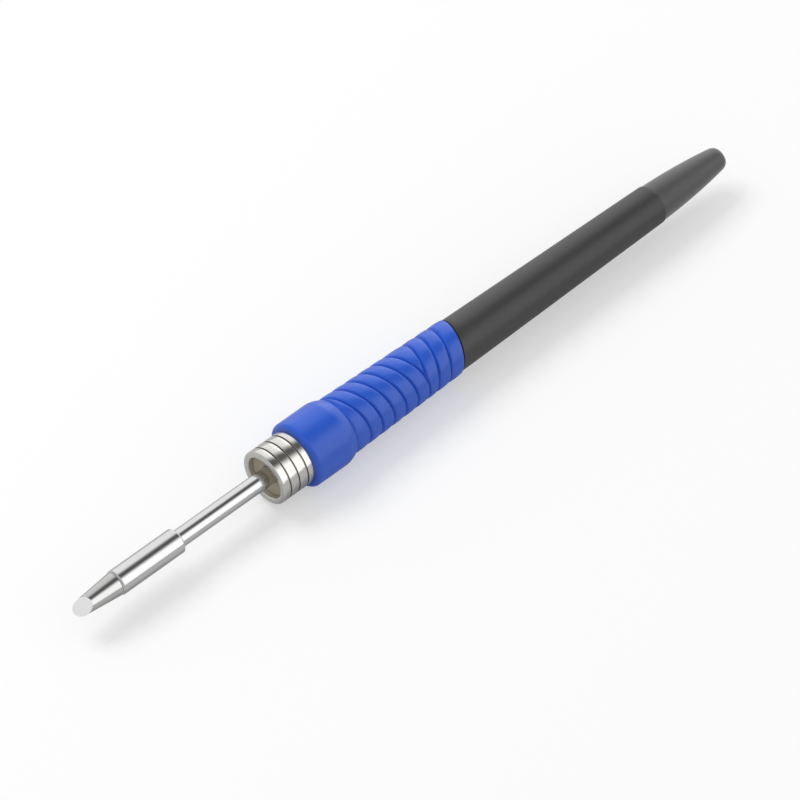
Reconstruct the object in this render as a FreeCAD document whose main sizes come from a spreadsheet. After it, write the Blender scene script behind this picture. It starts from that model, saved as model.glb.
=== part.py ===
import FreeCAD, Part
import math
import os
import re
import Sketcher

# Cartridge soldering iron, in millimetres.
# The iron lies along X: the bit points to -X, the cord end to +X, and +Z is up.
# The origin is the centre of the nose collar's front face.

# ---- driving dimensions -------------------------------------------------------------------
# Each line is one cell of the spreadsheet: its alias, its value and what it measures.
SIZES = (
    # nose collar
    ("collar_radius", 6.0, "outside of the metal nose collar"),
    ("collar_length", 8.4, "visible length of the collar"),
    ("collar_mouth_radius", 4.6, "open mouth of the collar"),
    ("collar_mouth_depth", 6.4, "depth of the mouth"),
    ("collar_rim_round", 0.5, "rounding of the mouth's rim"),
    ("collar_tail_length", 6.0, "tail that is pressed into the handle"),
    ("collar_tail_wall", 0.7, "wall of the tail"),
    ("band_groove_first", 1.85, "front edge of the first band groove"),
    ("band_groove_pitch", 2.29, "step between the band grooves"),
    ("band_groove_width", 0.36, "width of a band groove"),
    ("band_groove_depth", 0.24, "depth of a band groove"),
    # nose bush
    ("bush_setback", 1.3, "how far the bush's rim stands behind the collar's face"),
    ("bush_dish", 1.9, "depth of the dish in the bush's face"),
    ("bush_bore_gap", 0.13, "gap between the bush and the cartridge tube"),
    ("bush_tail_gap", 0.5, "how much shorter the bush's tail is than the collar's"),
    # grip
    ("grip_length", 42.6, "length of the rubber grip on the axis"),
    ("grip_front_radius", 7.27, "radius of the finger stop"),
    ("finger_stop_length", 8.2, "length of the finger stop"),
    ("neck_length", 3.1, "length of the hollow behind the finger stop"),
    ("neck_radius", 6.36, "grip radius where the hollow ends"),
    ("grip_rear_radius", 5.5, "grip radius at its rear edge"),
    ("grip_edge_round", 0.75, "rounding of the grip's front edge"),
    ("rib_groove_first", 21.25, "first rib groove on the axis"),
    ("rib_groove_pitch", 3.35, "step between the rib grooves"),
    ("rear_groove_first", 40.4, "first groove of the rear group on the axis"),
    ("rib_groove_width", 0.4, "width of a rib groove"),
    ("rib_groove_depth", 0.35, "depth of a rib groove"),
    ("rib_tilt_angle", 17.1, "lean of the front grooves"),
    ("rib_roll_angle", -88.6, "direction in which the front grooves lean"),
    ("rear_tilt_angle", 14.6, "lean of the rear grooves and of the grip's rear edge"),
    ("rear_roll_angle", 114.0, "direction in which the rear grooves lean"),
    ("grip_edge_gap", 0.12, "gap between the grip and the handle's shoulder"),
    # handle tube
    ("handle_length", 56.4, "visible length of the handle behind the grip"),
    ("handle_front_radius", 5.34, "handle radius beside the grip"),
    ("handle_rear_radius", 4.3, "handle radius at the boot"),
    ("core_radius", 4.5, "handle radius under the grip"),
    ("core_bore", 3.6, "bore that takes the contact parts, radius"),
    ("rear_bore", 3.4, "bore behind the contact parts, radius"),
    # rear boot
    ("boot_length", 19.5, "visible length of the boot"),
    ("boot_front_radius", 4.14, "boot radius at the handle"),
    ("boot_curve_radius", 150.0, "radius of the boot's long outward curve"),
    ("boot_end_radius", 2.42, "boot radius just before its rounded end"),
    ("boot_end_round", 0.75, "rounding of the boot's end"),
    ("boot_spigot_length", 9.0, "part of the boot that enters the handle"),
    ("boot_bore", 2.35, "bore of the boot, radius"),
    ("boot_seat_length", 6.0, "length of the gland's seat at the cord end"),
    ("gland_wall", 0.3, "wall of the cord gland"),
    ("cord_bore", 1.45, "cord inlet, radius"),
    ("clamp_inset", 1.0, "how far the clamp sits inside the boot's spigot"),
    ("clamp_length", 7.0, "length of the cord clamp"),
    ("clamp_wall", 0.4, "wall of the cord clamp"),
    ("clamp_slit_width", 0.5, "slits of the cord clamp"),
    ("clamp_ring_length", 2.6, "length of the ring round the cord clamp"),
    # seals
    ("seal_section", 0.3, "radius of an O-ring's section"),
    ("seal_groove_width", 0.8, "width of an O-ring's groove"),
    ("seal_inset", 2.6, "how far an O-ring sits behind its part's front edge"),
    # cartridge
    ("bit_reach", 49.6, "bit's point to the collar's face"),
    ("bit_front_radius", 1.62, "bit radius at its point"),
    ("bit_length", 10.06, "bit's point to the barrel"),
    ("bit_base_radius", 2.57, "bit radius at the barrel"),
    ("bevel_angle", 50.0, "angle between the bevel and the axis"),
    ("bevel_roll_angle", 32.9, "direction that the bevel faces"),
    ("bit_shank_length", 11.0, "shank inside the barrel"),
    ("bit_shank_radius", 2.1, "radius of the shank"),
    ("heater_pocket_depth", 15.0, "pocket in the bit for the heater"),
    ("heater_pocket_radius", 1.36, "radius of the heater pocket"),
    ("barrel_length", 16.3, "length of the barrel sleeve"),
    ("barrel_radius", 2.76, "outside of the barrel sleeve"),
    ("barrel_gap", 0.16, "shadow gap between the bit and the barrel"),
    ("barrel_edge", 0.22, "chamfer at the ends of the barrel"),
    ("tube_radius", 1.92, "outside of the cartridge tube"),
    ("tube_wall", 0.4, "wall of the cartridge tube"),
    ("tube_lap", 4.2, "part of the tube inside the barrel"),
    ("tube_insertion", 30.0, "part of the tube behind the collar's face"),
    ("former_radius", 0.95, "heater's ceramic rod"),
    ("former_length", 23.0, "length of the ceramic rod"),
    ("coil_wire_radius", 0.13, "heater wire"),
    ("coil_gap", 0.03, "gap between the heater wire and its rod"),
    ("coil_inset", 1.0, "how far the winding starts behind the rod's front end"),
    ("coil_pitch", 0.95, "step of the heater's turns"),
    ("coil_length", 12.0, "length of the heater's winding"),
    ("conductor_radius", 0.4, "conductor on the cartridge's axis"),
    ("lead_radius", 0.2, "return lead beside the conductor"),
    ("lead_offset", 0.9, "return lead's distance from the axis"),
    ("bead_length", 3.0, "insulating bead in the tube"),
    ("bead_pitch", 16.0, "step between the beads"),
    ("insulator_length", 1.4, "visible width of an insulating ring"),
    ("contact_step", 0.17, "step down from one contact to the next"),
    ("ring_contact_length", 5.0, "length of the ring contact"),
    ("pin_contact_length", 5.2, "length of the end contact"),
    # retaining ring and contact parts in the handle
    ("ring_running_gap", 0.05, "running fit of the retaining ring"),
    ("ring_length", 2.7, "width of the retaining ring"),
    ("ring_slit_width", 0.6, "slit of the retaining ring"),
    ("cup_wall", 0.5, "wall of the cup that holds the ring"),
    ("cup_floor", 1.0, "floor of the cup that holds the ring"),
    ("liner_length", 5.6, "length of the guide liner"),
    ("guide_gap", 0.28, "gap between the tube and the liner or contact block"),
    ("pin_room", 3.0, "room behind the end contact in the contact block"),
    ("block_wall", 0.65, "wall of the contact block outside its springs"),
    ("press_gap", 0.05, "gap of a part that is pushed into its seat"),
    ("spring_thickness", 0.2, "thickness of a contact spring"),
    ("spring_width", 1.2, "width of a contact spring"),
    ("spring_slot_gap", 0.12, "gap beside a spring in its slot"),
    ("spring_touch_gap", 0.06, "gap between a spring and its contact"),
    ("spring_slope", 3.6, "length over which a spring bends inwards"),
    ("spring_pad", 0.8, "half length of a spring's contact pad"),
    ("spring_flare_length", 1.0, "length of the turned-up end of a spring"),
    ("earth_inset", 2.6, "how far ahead of the tube's end the earth spring meets it"),
    ("board_thickness", 1.2, "thickness of the terminal board"),
    ("tail_length", 1.4, "spring tail behind the board"),
    ("sensor_radius", 0.8, "temperature sensor on the board"),
    ("sensor_length", 2.2, "length of the sensor"),
    ("sensor_offset", 1.0, "sensor's distance from the axis"),
)
ALIASES = {alias for alias, value, note in SIZES}

FRONT_GROOVES = 6
REAR_GROOVES = 3
BAND_GROOVES = 3
BEADS = 3
SPRING_COUNT = 3
CLAMP_SLITS = 4
TOOL_REACH = 30.0   # size of the plain tools that cut a piece right across

# ---- places on the axis, worked out from the sizes ----------------------------------------
COLLAR_TAIL_END = "(collar_length + collar_tail_length)"
GRIP_REAR = "(collar_length + grip_length)"
BOOT_FRONT = "(collar_length + grip_length + handle_length)"
BOOT_END = f"({BOOT_FRONT} + boot_length)"
CUP_END = f"({COLLAR_TAIL_END} + ring_length + 2 * ring_running_gap + cup_floor)"
LINER_END = f"({CUP_END} + liner_length)"
SEAT_RADIUS = "(core_bore - press_gap)"
COLLAR_TAIL_BORE = f"({SEAT_RADIUS} - collar_tail_wall)"
SPRING_FLOOR = f"({SEAT_RADIUS} - block_wall - spring_thickness)"
BIT_BASE = "(bit_length - bit_reach)"
BARREL_FRONT = f"({BIT_BASE} + barrel_gap)"
BARREL_END = f"({BARREL_FRONT} + barrel_length)"
SHANK_END = f"({BIT_BASE} + bit_shank_length)"
POCKET_FLOOR = f"({SHANK_END} - heater_pocket_depth)"
TUBE_BORE = "(tube_radius - tube_wall)"
FORMER_FRONT = f"({POCKET_FLOOR} + press_gap)"
FORMER_END = f"({FORMER_FRONT} + former_length)"
RING_CONTACT_FRONT = "(tube_insertion + insulator_length)"
RING_CONTACT_END = f"({RING_CONTACT_FRONT} + ring_contact_length)"
PIN_CONTACT_FRONT = f"({RING_CONTACT_END} + insulator_length)"
PIN_CONTACT_END = f"({PIN_CONTACT_FRONT} + pin_contact_length)"
BLOCK_END = f"({PIN_CONTACT_END} + pin_room)"
BOARD_END = f"({BLOCK_END} + board_thickness)"
RING_CONTACT_RADIUS = "(tube_radius - contact_step)"
PIN_CONTACT_RADIUS = "(tube_radius - 2 * contact_step)"

doc = FreeCAD.newDocument("soldering_iron")
sheet = doc.addObject("Spreadsheet::Sheet", "sizes")
for row, (alias, value, note) in enumerate(SIZES, 1):
    sheet.set(f"A{row}", note)
    sheet.set(f"B{row}", str(value))
    sheet.setAlias(f"B{row}", alias)
doc.recompute()


# ---- helpers ------------------------------------------------------------------------------
def cells(expression):
    """Write an expression in plain aliases as one that reads the spreadsheet."""
    return re.sub(r"[a-z_]+", lambda word: "sizes." + word[0] if word[0] in ALIASES else word[0],
                  str(expression))


def number(expression):
    """The present value of an expression in plain aliases."""
    return float(sheet.evalExpression(cells(expression)))


def bind(thing, **properties):
    """Tie properties of an object to expressions in plain aliases."""
    for name, expression in properties.items():
        thing.setExpression(name, cells(expression))


def place(thing, along="0", roll="0", turn="0", across="0", up="0"):
    """Turn an object about Y, roll it about X, and put it at (along, across, up)."""
    text = (f"placement(vector({along}; {across}; {up}); "
            f"rotation(vector(1; 0; 0); {roll}) * rotation(vector(0; 1; 0); {turn}))")
    thing.setExpression("Placement", cells(text))


def origin_plane(body, role):
    """One of the body's own origin planes or axes, found by its role."""
    return [feature for feature in body.Origin.OriginFeatures if feature.Role == role][0]


def clockwise_arc(start, end, radius):
    """Arc that bulges to the left of the way from start to end, with its ends anticlockwise."""
    half = math.dist(start, end) / 2
    rise = radius - math.sqrt(radius * radius - half * half)
    along, out = (end[0] - start[0]) / (2 * half), (end[1] - start[1]) / (2 * half)
    middle = FreeCAD.Vector((start[0] + end[0]) / 2 - out * rise, (start[1] + end[1]) / 2 + along * rise, 0)
    return Part.Arc(FreeCAD.Vector(*end, 0), middle, FreeCAD.Vector(*start, 0))


def outline(body, name, points, plane="XZ_Plane", arcs={}):
    """Closed sketch through the points, each (along, out); arcs maps an edge's index to its radius."""
    sketch = body.newObject("Sketcher::SketchObject", name)
    sketch.AttachmentSupport = (origin_plane(body, plane), [""])
    sketch.MapMode = "FlatFace"
    spots = [(number(along), number(out)) for along, out in points]
    count = len(spots)
    for index, start in enumerate(spots):
        end = spots[(index + 1) % count]
        if index in arcs:
            sketch.addGeometry(clockwise_arc(start, end, number(arcs[index])), False)
        else:
            line = Part.LineSegment(FreeCAD.Vector(*start, 0), FreeCAD.Vector(*end, 0))
            sketch.addGeometry(line, False)
    # an arc's own start is the end of its edge, because a sketch holds arcs anticlockwise
    starts = [2 if index in arcs else 1 for index in range(count)]
    for index in range(count):
        after = (index + 1) % count
        join = Sketcher.Constraint("Coincident", index, 3 - starts[index], after, starts[after])
        sketch.addConstraint(join)
    for index, point in enumerate(points):
        for kind, expression, value in zip(("DistanceX", "DistanceY"), point, spots[index]):
            rule = sketch.addConstraint(Sketcher.Constraint(kind, -1, 1, index, starts[index], value))
            sketch.setExpression(f"Constraints[{rule}]", cells(expression))
    for index, radius in arcs.items():
        rule = sketch.addConstraint(Sketcher.Constraint("Radius", index, number(radius)))
        sketch.setExpression(f"Constraints[{rule}]", cells(radius))
    return sketch


def turned(name, points, arcs={}):
    """Body made by turning a closed outline about the X axis."""
    body = doc.addObject("PartDesign::Body", name)
    turn = body.newObject("PartDesign::Revolution", name + "_turn")
    turn.Profile = outline(body, name + "_outline", points, arcs=arcs)
    turn.ReferenceAxis = (turn.Profile[0], ["H_Axis"])
    turn.Angle = 360
    doc.recompute()
    return body


def round_edges(body, stations, radius, kind="PartDesign::Fillet"):
    """Round or chamfer the circular edges at the given (along, out) stations."""
    wanted = [(number(along), number(out)) for along, out in stations]
    names = []
    for index, edge in enumerate(body.Shape.Edges, 1):
        point = edge.Vertexes[0].Point
        spot = (point.x, math.hypot(point.y, point.z))
        closed = len(edge.Vertexes) == 1 and hasattr(edge.Curve, "Radius")
        if closed and any(math.dist(spot, place_wanted) < 1e-4 for place_wanted in wanted):
            names.append(f"Edge{index}")
    if len(names) != len(wanted):
        raise SystemExit(f"{body.Name}: found {len(names)} of {len(wanted)} edges to round")
    base = body.Tip
    feature = body.newObject(kind, body.Name + "_edges")
    feature.Base = (base, names)
    bind(feature, **{"Radius" if kind.endswith("Fillet") else "Size": radius})
    body.Tip = feature
    doc.recompute()


def slots_through(body, inner, outer, width, count):
    """Slots along the whole piece, between two radii, shared out round the axis."""
    sketch = outline(body, body.Name + "_slot", (
        (f"-({width}) / 2", inner), (f"({width}) / 2", inner),
        (f"({width}) / 2", outer), (f"-({width}) / 2", outer)), plane="YZ_Plane")
    pocket = body.newObject("PartDesign::Pocket", body.Name + "_slots")
    pocket.Profile = sketch
    pocket.Type = "ThroughAll"
    pocket.Midplane = True
    doc.recompute()
    pattern = body.newObject("PartDesign::PolarPattern", body.Name + "_slot_ring")
    pattern.Originals = [pocket]
    pattern.Axis = (origin_plane(body, "X_Axis"), [""])
    pattern.Angle = 360
    pattern.Occurrences = count
    body.Tip = pattern
    doc.recompute()


def primitive(kind, name, **properties):
    """Part primitive whose properties are tied to the spreadsheet."""
    thing = doc.addObject("Part::" + kind, name)
    bind(thing, **properties)
    return thing


def cut(name, base, tool):
    """Boolean difference."""
    result = doc.addObject("Part::Cut", name)
    result.Base = base
    result.Tool = tool
    return result


def fuse(name, shapes):
    """Boolean union of a list."""
    result = doc.addObject("Part::MultiFuse", name)
    result.Shapes = shapes
    return result


PIECES = {}


def piece(name, thing):
    """Name a finished piece; the name is its label and its file."""
    thing.Label = name
    PIECES[name] = thing


# ---- nose: collar, bush, seal -------------------------------------------------------------
def build_nose():
    points = [("0", "collar_mouth_radius"), ("0", "collar_radius")]
    for index in range(BAND_GROOVES):
        front = f"band_groove_first + {index} * band_groove_pitch"
        floor = "collar_radius - band_groove_depth"
        points += [(front, "collar_radius"), (front, floor),
                   (f"{front} + band_groove_width", floor),
                   (f"{front} + band_groove_width", "collar_radius")]
    points += [("collar_length", "collar_radius"), ("collar_length", SEAT_RADIUS),
               (COLLAR_TAIL_END, SEAT_RADIUS), (COLLAR_TAIL_END, COLLAR_TAIL_BORE),
               ("collar_mouth_depth", COLLAR_TAIL_BORE),
               ("collar_mouth_depth", "collar_mouth_radius")]
    collar = turned("collar", points)
    round_edges(collar, [("0", "collar_mouth_radius"), ("0", "collar_radius")], "collar_rim_round")
    piece("nose_collar", collar)

    rim = "(collar_mouth_radius - press_gap)"
    bore = "(tube_radius + bush_bore_gap)"
    groove = "(bush_setback + seal_inset - seal_groove_width / 2)"
    floor = f"({rim} - 2 * seal_section)"
    bush = turned("bush", [
        ("bush_setback", rim), (groove, rim), (groove, floor),
        (f"{groove} + seal_groove_width", floor), (f"{groove} + seal_groove_width", rim),
        ("collar_mouth_depth", rim), ("collar_mouth_depth", f"{COLLAR_TAIL_BORE} - press_gap"),
        (f"{COLLAR_TAIL_END} - bush_tail_gap", f"{COLLAR_TAIL_BORE} - press_gap"),
        (f"{COLLAR_TAIL_END} - bush_tail_gap", bore), ("bush_setback + bush_dish", bore)])
    piece("nose_bush", bush)

    seal = primitive("Torus", "nose_seal", Radius1=f"{rim} - seal_section",
                     Radius2="seal_section - press_gap")
    place(seal, along="bush_setback + seal_inset", turn="90")
    piece("nose_o_ring", seal)


# ---- handle tube and grip -----------------------------------------------------------------
def leaning_discs(name, first, count, tilt, roll):
    """Thin discs that lean by tilt, one for each groove."""
    discs = []
    for index in range(count):
        disc = primitive("Cylinder", f"{name}_disc_{index}", Radius=TOOL_REACH,
                         Height="rib_groove_width")
        place(disc, along=f"{first} + {index} * rib_groove_pitch", roll=roll, turn=f"90 - {tilt}")
        discs.append(disc)
    return discs


def build_handle():
    tube = turned("handle_blank", [
        ("collar_length", "core_bore"), ("collar_length", "core_radius"),
        (f"{GRIP_REAR} - handle_front_radius", "core_radius"),
        (f"{GRIP_REAR} - handle_front_radius", "handle_front_radius"),
        (GRIP_REAR, "handle_front_radius"), (BOOT_FRONT, "handle_rear_radius"),
        (BOOT_FRONT, "rear_bore"), (BOARD_END, "rear_bore"), (BOARD_END, "core_bore")])
    shoulder_tool = primitive("Cylinder", "shoulder_tool", Radius=TOOL_REACH, Height=TOOL_REACH)
    place(shoulder_tool, along=f"{GRIP_REAR} + grip_edge_gap", roll="rear_roll_angle",
          turn="270 - rear_tilt_angle")
    shoulder_core = primitive("Cylinder", "shoulder_core", Radius="core_radius",
                              Height=f"{GRIP_REAR} + {TOOL_REACH}")
    place(shoulder_core, turn="90")
    piece("handle_tube", cut("handle_cut", tube, cut("shoulder_ring", shoulder_tool, shoulder_core)))

    bore = "(core_radius + press_gap)"
    reach = f"({GRIP_REAR} + grip_rear_radius)"
    slope = "((neck_radius - grip_rear_radius) / (grip_length - finger_stop_length - neck_length))"
    end_radius = f"(grip_rear_radius - grip_rear_radius * {slope})"
    neck = "(collar_length + finger_stop_length)"
    blank = turned("grip_blank", [
        ("collar_length", bore), ("collar_length", "grip_front_radius"), (neck, "grip_front_radius"),
        (f"{neck} + neck_length", "neck_radius"), (reach, end_radius), (reach, bore)])
    round_edges(blank, [("collar_length", "grip_front_radius")], "grip_edge_round")
    tail_tool = primitive("Cylinder", "tail_tool", Radius=TOOL_REACH, Height=TOOL_REACH)
    place(tail_tool, along=GRIP_REAR, roll="rear_roll_angle", turn="90 - rear_tilt_angle")
    discs = leaning_discs("front", "rib_groove_first", FRONT_GROOVES, "rib_tilt_angle",
                          "rib_roll_angle")
    discs += leaning_discs("rear", "rear_groove_first", REAR_GROOVES, "rear_tilt_angle",
                           "rear_roll_angle")
    core = turned("groove_core", [
        ("0", "0"), ("0", "grip_front_radius - rib_groove_depth"),
        (neck, "grip_front_radius - rib_groove_depth"),
        (f"{neck} + neck_length", "neck_radius - rib_groove_depth"),
        (reach, f"{end_radius} - rib_groove_depth"), (reach, "0")])
    grooves = cut("groove_rings", fuse("groove_discs", discs), core)
    piece("grip_sleeve", cut("grip_cut", cut("grip_trimmed", blank, tail_tool), grooves))


# ---- rear boot and cord inlet -------------------------------------------------------------
def build_boot():
    spigot = "(rear_bore - press_gap)"
    spigot_front = f"({BOOT_FRONT} - boot_spigot_length)"
    groove = f"({BOOT_FRONT} - seal_inset - seal_groove_width / 2)"
    floor = f"({spigot} - 2 * seal_section)"
    seat = "(cord_bore + gland_wall + press_gap)"
    boot = turned("boot", [
        (spigot_front, "boot_bore"), (spigot_front, spigot), (groove, spigot), (groove, floor),
        (f"{groove} + seal_groove_width", floor), (f"{groove} + seal_groove_width", spigot),
        (BOOT_FRONT, spigot), (BOOT_FRONT, "boot_front_radius"),
        (BOOT_END, "boot_end_radius"), (BOOT_END, seat),
        (f"{BOOT_END} - boot_seat_length", seat), (f"{BOOT_END} - boot_seat_length", "boot_bore")],
        arcs={7: "boot_curve_radius"})
    round_edges(boot, [(BOOT_END, "boot_end_radius")],
                f"min(boot_end_round; boot_end_radius - {seat} - press_gap)")
    piece("rear_boot", boot)

    seal = primitive("Torus", "boot_seal", Radius1=f"{spigot} - seal_section",
                     Radius2="seal_section - press_gap")
    place(seal, along=f"{BOOT_FRONT} - seal_inset", turn="90")
    piece("rear_o_ring", seal)

    outer = "(cord_bore + gland_wall)"
    flange_end = f"({BOOT_END} - boot_seat_length - press_gap)"
    gland = turned("gland", [
        (f"{flange_end} - 1.2", "cord_bore"), (f"{flange_end} - 1.2", "boot_bore - press_gap"),
        (flange_end, "boot_bore - press_gap"), (flange_end, outer),
        (BOOT_END, outer), (BOOT_END, "cord_bore")])
    piece("cord_gland", gland)

    clamp_front = f"({spigot_front} + clamp_inset)"
    clamp_outer = "(cord_bore + clamp_wall)"
    clamp = turned("clamp", [
        (clamp_front, "cord_bore"), (clamp_front, "boot_bore - press_gap"),
        (f"{clamp_front} + 1.2", "boot_bore - press_gap"), (f"{clamp_front} + 1.2", clamp_outer),
        (f"{clamp_front} + clamp_length", clamp_outer), (f"{clamp_front} + clamp_length", "cord_bore")])
    slit = primitive("Box", "clamp_slit", Length="clamp_length", Width="clamp_slit_width",
                     Height="2 * boot_bore")
    place(slit, along=f"{clamp_front} + 2.2", across="-clamp_slit_width / 2", up="-boot_bore")
    cross = primitive("Box", "clamp_cross", Length="clamp_length", Width="2 * boot_bore",
                      Height="clamp_slit_width")
    place(cross, along=f"{clamp_front} + 2.2", across="-boot_bore", up="-clamp_slit_width / 2")
    piece("cord_clamp", cut("clamp_slits", clamp, fuse("clamp_tool", [slit, cross])))

    ring_front = f"({clamp_front} + clamp_length - clamp_ring_length - clamp_inset)"
    ring = turned("clamp_band", [
        (ring_front, f"{clamp_outer} + press_gap"), (ring_front, "boot_bore - press_gap"),
        (f"{ring_front} + clamp_ring_length", "boot_bore - press_gap"),
        (f"{ring_front} + clamp_ring_length", f"{clamp_outer} + press_gap")])
    piece("clamp_ring", ring)


# ---- cartridge ----------------------------------------------------------------------------
def build_bit():
    blank = turned("bit_blank", [
        ("-bit_reach", "0"), ("-bit_reach", "bit_front_radius"), (BIT_BASE, "bit_base_radius"),
        (BIT_BASE, "bit_shank_radius"), (SHANK_END, "bit_shank_radius"),
        (SHANK_END, "heater_pocket_radius"), (POCKET_FLOOR, "heater_pocket_radius"),
        (POCKET_FLOOR, "0")])
    wedge = primitive("Box", "bevel_tool", Length=TOOL_REACH, Width=TOOL_REACH, Height=TOOL_REACH)
    # the tool's lower face starts ahead of the bit's point and leans back by the bevel angle
    lean = "rotation(vector(1; 0; 0); bevel_roll_angle) * rotation(vector(0; 1; 0); -bevel_angle)"
    corner = (f"vector(-bit_reach; 0; 0) + rotation(vector(1; 0; 0); bevel_roll_angle) * "
              f"vector(-3 * cos(bevel_angle); -{TOOL_REACH} / 2; "
              f"-bit_front_radius - 3 * sin(bevel_angle))")
    wedge.setExpression("Placement", cells(f"placement({corner}; {lean})"))
    piece("soldering_bit", cut("bit_bevelled", blank, wedge))


def build_cartridge():
    build_bit()
    bore = "(bit_shank_radius + press_gap)"
    tube_seat = "(tube_radius + press_gap)"
    barrel = turned("barrel", [
        (BARREL_FRONT, bore), (BARREL_FRONT, "barrel_radius"), (BARREL_END, "barrel_radius"),
        (BARREL_END, tube_seat), (f"{BARREL_END} - tube_lap", tube_seat),
        (f"{BARREL_END} - tube_lap", bore)])
    round_edges(barrel, [(BARREL_FRONT, "barrel_radius"), (BARREL_END, "barrel_radius")],
                "barrel_edge", kind="PartDesign::Chamfer")
    piece("barrel_sleeve", barrel)

    tube_front = f"({BARREL_END} - tube_lap)"
    piece("cartridge_tube", turned("tube", [
        (tube_front, TUBE_BORE), (tube_front, "tube_radius"), ("tube_insertion", "tube_radius"),
        ("tube_insertion", TUBE_BORE)]))

    piece("heater_former", turned("former", [
        (FORMER_FRONT, "0"), (FORMER_FRONT, "former_radius"), (FORMER_END, "former_radius"),
        (FORMER_END, "conductor_radius"), (f"{FORMER_END} - 2", "conductor_radius"),
        (f"{FORMER_END} - 2", "0")]))
    build_coil()

    piece("centre_conductor", turned("conductor", [
        (f"{FORMER_END} - 2", "0"), (f"{FORMER_END} - 2", "conductor_radius"),
        (PIN_CONTACT_FRONT, "conductor_radius"), (PIN_CONTACT_FRONT, "0")]))
    lead = primitive("Cylinder", "lead", Radius="lead_radius",
                     Height=f"tube_insertion - insulator_length - {FORMER_END} - press_gap")
    place(lead, along=FORMER_END, turn="90", up="lead_offset")
    piece("return_lead", lead)
    build_beads()
    build_contacts()


def build_coil():
    winding = "(former_radius + coil_wire_radius + coil_gap)"
    helix = primitive("Helix", "coil_path", Pitch="coil_pitch", Height="coil_length", Radius=winding)
    place(helix, along=f"{FORMER_FRONT} + coil_inset", turn="90")
    section = primitive("Circle", "coil_section", Radius="coil_wire_radius")
    place(section, along=f"{FORMER_FRONT} + coil_inset", roll="90", up=f"-{winding}")
    doc.recompute()
    coil = doc.addObject("Part::Sweep", "coil")
    coil.Sections = [section]
    coil.Spine = (helix, [])
    coil.Solid = True
    coil.Frenet = True
    piece("heater_coil", coil)


def build_beads():
    beads = []
    for index in range(BEADS):
        front = f"({FORMER_END} + bead_length + {index} * bead_pitch)"
        bead = turned(f"bead_{index}", [
            (front, "conductor_radius + press_gap"), (front, f"{TUBE_BORE} - press_gap"),
            (f"{front} + bead_length", f"{TUBE_BORE} - press_gap"),
            (f"{front} + bead_length", "conductor_radius + press_gap")])
        hole = primitive("Cylinder", f"bead_hole_{index}", Radius="lead_radius + press_gap",
                         Height="bead_length")
        place(hole, along=front, turn="90", up="lead_offset")
        beads.append(cut(f"bead_cut_{index}", bead, hole))
    group = doc.addObject("Part::Compound", "beads")
    group.Links = beads
    piece("bead_insulators", group)


def build_contacts():
    hole = "(conductor_radius + press_gap)"
    plug = f"({TUBE_BORE} - press_gap)"
    piece("front_insulator", turned("front_ring", [
        ("tube_insertion - insulator_length", hole), ("tube_insertion - insulator_length", plug),
        ("tube_insertion", plug), ("tube_insertion", RING_CONTACT_RADIUS),
        (RING_CONTACT_FRONT, RING_CONTACT_RADIUS), (RING_CONTACT_FRONT, hole)]))
    core = f"({RING_CONTACT_RADIUS} - tube_wall)"
    piece("ring_contact", turned("ring_pole", [
        (RING_CONTACT_FRONT, core), (RING_CONTACT_FRONT, RING_CONTACT_RADIUS),
        (RING_CONTACT_END, RING_CONTACT_RADIUS), (RING_CONTACT_END, core)]))
    piece("rear_insulator", turned("rear_ring", [
        (RING_CONTACT_FRONT, hole), (RING_CONTACT_FRONT, f"{core} - press_gap"),
        (RING_CONTACT_END, f"{core} - press_gap"), (RING_CONTACT_END, PIN_CONTACT_RADIUS),
        (PIN_CONTACT_FRONT, PIN_CONTACT_RADIUS), (PIN_CONTACT_FRONT, hole)]))
    pin = turned("pin_pole", [
        (PIN_CONTACT_FRONT, "0"), (PIN_CONTACT_FRONT, PIN_CONTACT_RADIUS),
        (PIN_CONTACT_END, PIN_CONTACT_RADIUS), (PIN_CONTACT_END, "0")])
    round_edges(pin, [(PIN_CONTACT_END, PIN_CONTACT_RADIUS)], f"{PIN_CONTACT_RADIUS} * 0.6")
    piece("pin_contact", pin)


# ---- retaining ring and contact parts -----------------------------------------------------
def build_retainer():
    ring_front = f"({COLLAR_TAIL_END} + ring_running_gap)"
    inner = "(tube_radius + ring_running_gap)"
    cavity = f"({SEAT_RADIUS} - cup_wall)"
    outer = f"({cavity} - ring_running_gap)"
    ring = turned("ring_blank", [
        (ring_front, inner), (ring_front, outer), (f"{ring_front} + ring_length", outer),
        (f"{ring_front} + ring_length", inner)])
    slit = primitive("Box", "ring_slit", Length=TOOL_REACH, Width="ring_slit_width",
                     Height="core_bore")
    place(slit, across="-ring_slit_width / 2")
    piece("retaining_ring", cut("ring_split", ring, slit))

    floor = f"({CUP_END} - cup_floor)"
    piece("retainer_cup", turned("cup", [
        (COLLAR_TAIL_END, cavity), (COLLAR_TAIL_END, SEAT_RADIUS), (CUP_END, SEAT_RADIUS),
        (CUP_END, "tube_radius + guide_gap"), (floor, "tube_radius + guide_gap"),
        (floor, cavity)]))
    piece("guide_liner", turned("liner", [
        (CUP_END, "tube_radius + guide_gap"), (CUP_END, SEAT_RADIUS), (LINER_END, SEAT_RADIUS),
        (LINER_END, "tube_radius + guide_gap")]))


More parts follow.
